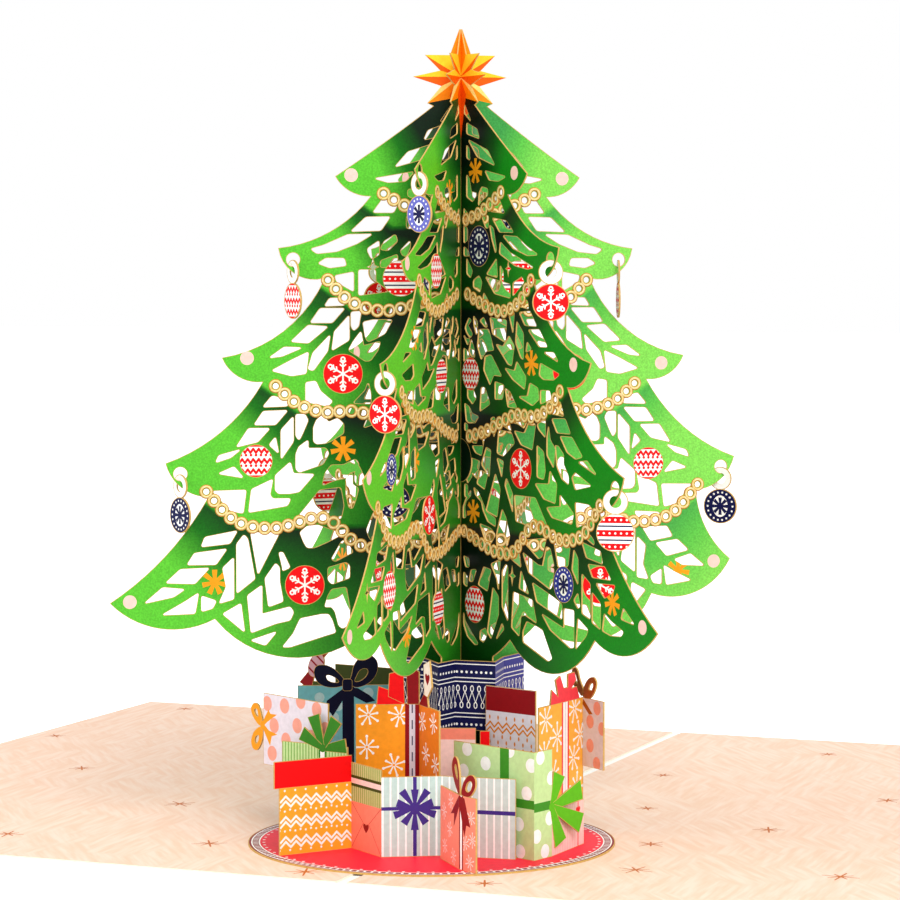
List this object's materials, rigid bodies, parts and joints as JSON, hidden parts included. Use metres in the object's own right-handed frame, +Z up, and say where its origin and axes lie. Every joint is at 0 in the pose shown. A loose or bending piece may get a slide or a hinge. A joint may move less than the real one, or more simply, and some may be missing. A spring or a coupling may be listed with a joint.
{
  "type": "pop up card",
  "caption": "Pop up card lying open: crossed openwork paper sheets form a Christmas tree with hanging paper ornaments above folded paper gifts.",
  "frame": {"origin": "middle of the fold on the underside of the board", "axes": "+X across the fold to the right half, +Y along the fold towards the back end, +Z up"},
  "size_m": [0.254, 0.1871, 0.1427],
  "materials": {
    "white_board": "matte",
    "peach_liner": "matte",
    "red_rug": "matte",
    "green_foil_paper": "matte",
    "ornament_paper": "matte",
    "printed_gifts": "matte",
    "navy_print": "matte",
    "salmon_print": "matte",
    "orange_print": "matte",
    "lilac_print": "matte",
    "green_print": "matte",
    "aqua_print": "matte",
    "dark_red_print": "matte"
  },
  "bodies": {
    "card": {"card_cover": "white_board", "liner_left": "peach_liner", "liner_right": "peach_liner", "rug": "red_rug", "tree_sheet_front_to_back": "green_foil_paper", "tree_sheet_right_front_to_left_back": "green_foil_paper", "tree_sheet_right_rear_to_left": "green_foil_paper", "collar_navy": "navy_print", "gift_red_box_envelope_blue_box": "printed_gifts", "gift_salmon_red_bow": "salmon_print", "gift_green_dotted_pink": "green_print", "gift_lilac_orange_bow": "lilac_print", "gift_green_striped": "green_print", "gift_aqua_navy_bow": "aqua_print", "gift_olive_sweet": "green_print", "gift_orange_snowflake_tag": "orange_print", "gift_salmon_box": "salmon_print", "gift_small_red_box": "dark_red_print", "gift_dark_red_lid": "dark_red_print", "gift_orange_lilac_right": "orange_print"},
    "ornament_front_left_upper": {"ornament_front_left_upper": "ornament_paper"},
    "ornament_front_left_lower": {"ornament_front_left_lower": "ornament_paper"},
    "ornament_left_upper": {"ornament_left_upper": "ornament_paper"},
    "ornament_left_lower": {"ornament_left_lower": "ornament_paper"},
    "ornament_front_right_upper": {"ornament_front_right_upper": "ornament_paper"},
    "ornament_front_right_lower": {"ornament_front_right_lower": "ornament_paper"},
    "ornament_rear_right_upper": {"ornament_rear_right_upper": "ornament_paper"},
    "ornament_rear_right_lower": {"ornament_rear_right_lower": "ornament_paper"},
    "ornament_back_left_upper": {"ornament_back_left_upper": "ornament_paper"},
    "ornament_back_left_lower": {"ornament_back_left_lower": "ornament_paper"},
    "ornament_back_upper": {"ornament_back_upper": "ornament_paper"},
    "ornament_back_lower": {"ornament_back_lower": "ornament_paper"}
  },
  "joints": [
    {"name": "swing_front_left_upper", "type": "hinge", "parent": "card", "child": "ornament_front_left_upper", "pos_m": [0.00163, -0.05924, 0.11527], "axis": [0.454, 0.891, 0], "range_deg": [-30, 30]},
    {"name": "swing_front_left_lower", "type": "hinge", "parent": "card", "child": "ornament_front_left_lower", "pos_m": [0.0029, -0.077, 0.08222], "axis": [0.1736, 0.9848, 0], "range_deg": [-30, 30]},
    {"name": "swing_left_upper", "type": "hinge", "parent": "card", "child": "ornament_left_upper", "pos_m": [-0.02578, -0.05085, 0.10043], "axis": [0.6157, 0.788, 0], "range_deg": [-30, 30]},
    {"name": "swing_left_lower", "type": "hinge", "parent": "card", "child": "ornament_left_lower", "pos_m": [-0.04308, -0.06048, 0.06308], "axis": [0.5, 0.866, 0], "range_deg": [-30, 30]},
    {"name": "swing_front_right_upper", "type": "hinge", "parent": "card", "child": "ornament_front_right_upper", "pos_m": [0.02344, -0.05442, 0.10043], "axis": [-0.5299, 0.848, 0], "range_deg": [-30, 30]},
    {"name": "swing_front_right_lower", "type": "hinge", "parent": "card", "child": "ornament_front_right_lower", "pos_m": [0.03916, -0.06644, 0.06308], "axis": [-0.2079, 0.9781, 0], "range_deg": [-30, 30]},
    {"name": "swing_rear_right_upper", "type": "hinge", "parent": "card", "child": "ornament_rear_right_upper", "pos_m": [0.02286, -0.01786, 0.10043], "axis": [0.9135, 0.4067, 0], "range_deg": [-30, 30]},
    {"name": "swing_rear_right_lower", "type": "hinge", "parent": "card", "child": "ornament_rear_right_lower", "pos_m": [0.0382, -0.00534, 0.06308], "axis": [0.0523, 0.9986, 0], "range_deg": [-30, 30]},
    {"name": "swing_back_left_upper", "type": "hinge", "parent": "card", "child": "ornament_back_left_upper", "pos_m": [-0.02344, -0.01858, 0.10043], "axis": [-0.7944, 0.6074, 0], "range_deg": [-30, 30]},
    {"name": "swing_back_left_lower", "type": "hinge", "parent": "card", "child": "ornament_back_left_lower", "pos_m": [-0.03916, -0.00656, 0.06308], "axis": [-0.7944, 0.6074, 0], "range_deg": [-30, 30]},
    {"name": "swing_back_upper", "type": "hinge", "parent": "card", "child": "ornament_back_upper", "pos_m": [-0.00163, -0.01376, 0.11527], "axis": [-0.0698, 0.9976, 0], "range_deg": [-30, 30]},
    {"name": "swing_back_lower", "type": "hinge", "parent": "card", "child": "ornament_back_lower", "pos_m": [-0.0029, 0.004, 0.08222], "axis": [-0.0698, 0.9976, 0], "range_deg": [-30, 30]}
  ]
}
